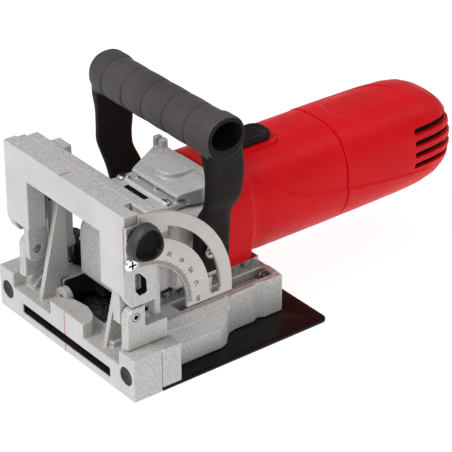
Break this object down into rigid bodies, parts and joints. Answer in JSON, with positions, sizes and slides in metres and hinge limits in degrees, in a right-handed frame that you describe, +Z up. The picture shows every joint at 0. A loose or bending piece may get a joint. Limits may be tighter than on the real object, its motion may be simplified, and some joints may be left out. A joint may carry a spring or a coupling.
{
  "type": "biscuit joiner",
  "caption": "Plunging biscuit joiner: red motor housing, black bail handle, cast base with blade slot, lifting carrier and tilting fence.",
  "frame": {"origin": "on the sole's plane, straight below the blade spindle with the motor unit at rest", "axes": "+X towards the quadrant side, +Y towards the motor's rear end, -Y towards the workpiece, +Z up"},
  "size_m": [0.1614, 0.2963, 0.157],
  "materials": {
    "cast_aluminium": "satin, blasted casting",
    "plated_steel": "fine brushed plate",
    "steel": "satin",
    "dark_steel": "semi-gloss black",
    "black_plastic": "matt, fine grain",
    "red_plastic": "semi-gloss",
    "rubber": "matt",
    "copper_core": "varnished winding",
    "carbon": "dull",
    "brass": "satin"
  },
  "bodies": {
    "base": {"base_front_block": "cast_aluminium", "base_casting": "cast_aluminium", "base_plate": "dark_steel", "sole_screw_front_left": "steel", "sole_screw_front_right": "steel", "sole_screw_rear_left": "steel", "sole_screw_rear_right": "steel", "grip_pad_left": "rubber", "grip_pad_right": "rubber", "guide_strip_left": "steel", "guide_strip_right": "steel", "return_spring_left": "steel", "return_spring_right": "steel", "spring_anchor_left": "steel", "spring_anchor_right": "steel", "dust_spout": "black_plastic", "turret_screw": "steel"},
    "depth_turret": {"depth_turret": "black_plastic"},
    "fence_carrier": {"fence_carrier": "cast_aluminium", "hinge_pin_left": "steel", "hinge_pin_right": "steel"},
    "fence": {"fence": "cast_aluminium", "angle_quadrant": "plated_steel", "quadrant_screw": "steel"},
    "angle_clamp_knob": {"angle_clamp_knob": "black_plastic"},
    "lift_clamp_knob": {"lift_clamp_knob": "black_plastic"},
    "motor_unit": {"gear_head_housing": "cast_aluminium", "gear_head_cover": "cast_aluminium", "cover_screw_left": "steel", "cover_screw_right": "steel", "depth_rod": "steel", "motor_housing": "red_plastic", "rear_cap": "red_plastic", "cable_gland": "rubber", "switch_body": "black_plastic", "stator_core": "dark_steel", "bail_handle": "black_plastic", "handle_screw_left": "steel", "handle_screw_right": "steel", "motor_bearing_front": "steel", "motor_bearing_rear": "steel", "spindle_bearing_lower": "steel", "spindle_bush_upper": "brass", "brush_holder_left": "brass", "brush_holder_right": "brass", "carbon_brush_left": "carbon", "carbon_brush_right": "carbon"},
    "slide_switch": {"slide_switch": "black_plastic", "switch_rod": "black_plastic"},
    "spindle_lock": {"spindle_lock_button": "black_plastic"},
    "armature": {"armature_shaft": "steel", "pinion_gear": "steel", "armature_core": "copper_core", "commutator": "brass", "cooling_fan": "black_plastic"},
    "spindle": {"blade_spindle": "steel", "crown_gear": "steel", "inner_flange": "steel", "flange_nut": "dark_steel", "saw_blade": "steel"}
  },
  "joints": [
    {"name": "plunge", "type": "slide", "parent": "base", "child": "motor_unit", "axis": [0, -1, 0], "range_m": [0, 0.022], "stiffness_N_per_m": 350, "springref_m": -0.03},
    {"name": "spindle_spin", "type": "hinge", "parent": "motor_unit", "child": "spindle", "pos_m": [0, 0, 0.0082], "axis": [0, 0, 1], "continuous": true},
    {"name": "armature_spin", "type": "hinge", "parent": "motor_unit", "child": "armature", "pos_m": [0, 0.037, 0.0624], "axis": [0, 1, 0], "continuous": true},
    {"name": "carrier_lift", "type": "slide", "parent": "base", "child": "fence_carrier", "axis": [0, 0, 1], "range_m": [0, 0.015]},
    {"name": "fence_tilt", "type": "hinge", "parent": "fence_carrier", "child": "fence", "pos_m": [0, -0.048, 0.0488], "axis": [1, 0, 0], "range_deg": [0, 90]},
    {"name": "angle_clamp_turn", "type": "hinge", "parent": "fence_carrier", "child": "angle_clamp_knob", "pos_m": [0.0632, -0.04895, 0.10299], "axis": [1, 0, 0], "range_deg": [0, 270]},
    {"name": "lift_clamp_turn", "type": "hinge", "parent": "fence_carrier", "child": "lift_clamp_knob", "pos_m": [-0.0602, -0.0292, 0.072], "axis": [-1, 0, 0], "range_deg": [0, 270]},
    {"name": "switch_slide", "type": "slide", "parent": "motor_unit", "child": "slide_switch", "axis": [0, -1, 0], "range_m": [0, 0.007]},
    {"name": "spindle_lock_press", "type": "slide", "parent": "motor_unit", "child": "spindle_lock", "axis": [1, 0, 0], "range_m": [0, 0.003], "stiffness_N_per_m": 400, "springref_m": -0.002},
    {"name": "depth_turret_turn", "type": "hinge", "parent": "base", "child": "depth_turret", "pos_m": [-0.044, -0.012, 0.028], "axis": [0, 0, 1], "continuous": true}
  ],
  "couplings": [
    {"joint": "armature_spin", "follows": "spindle_spin", "ratio": 3}
  ]
}
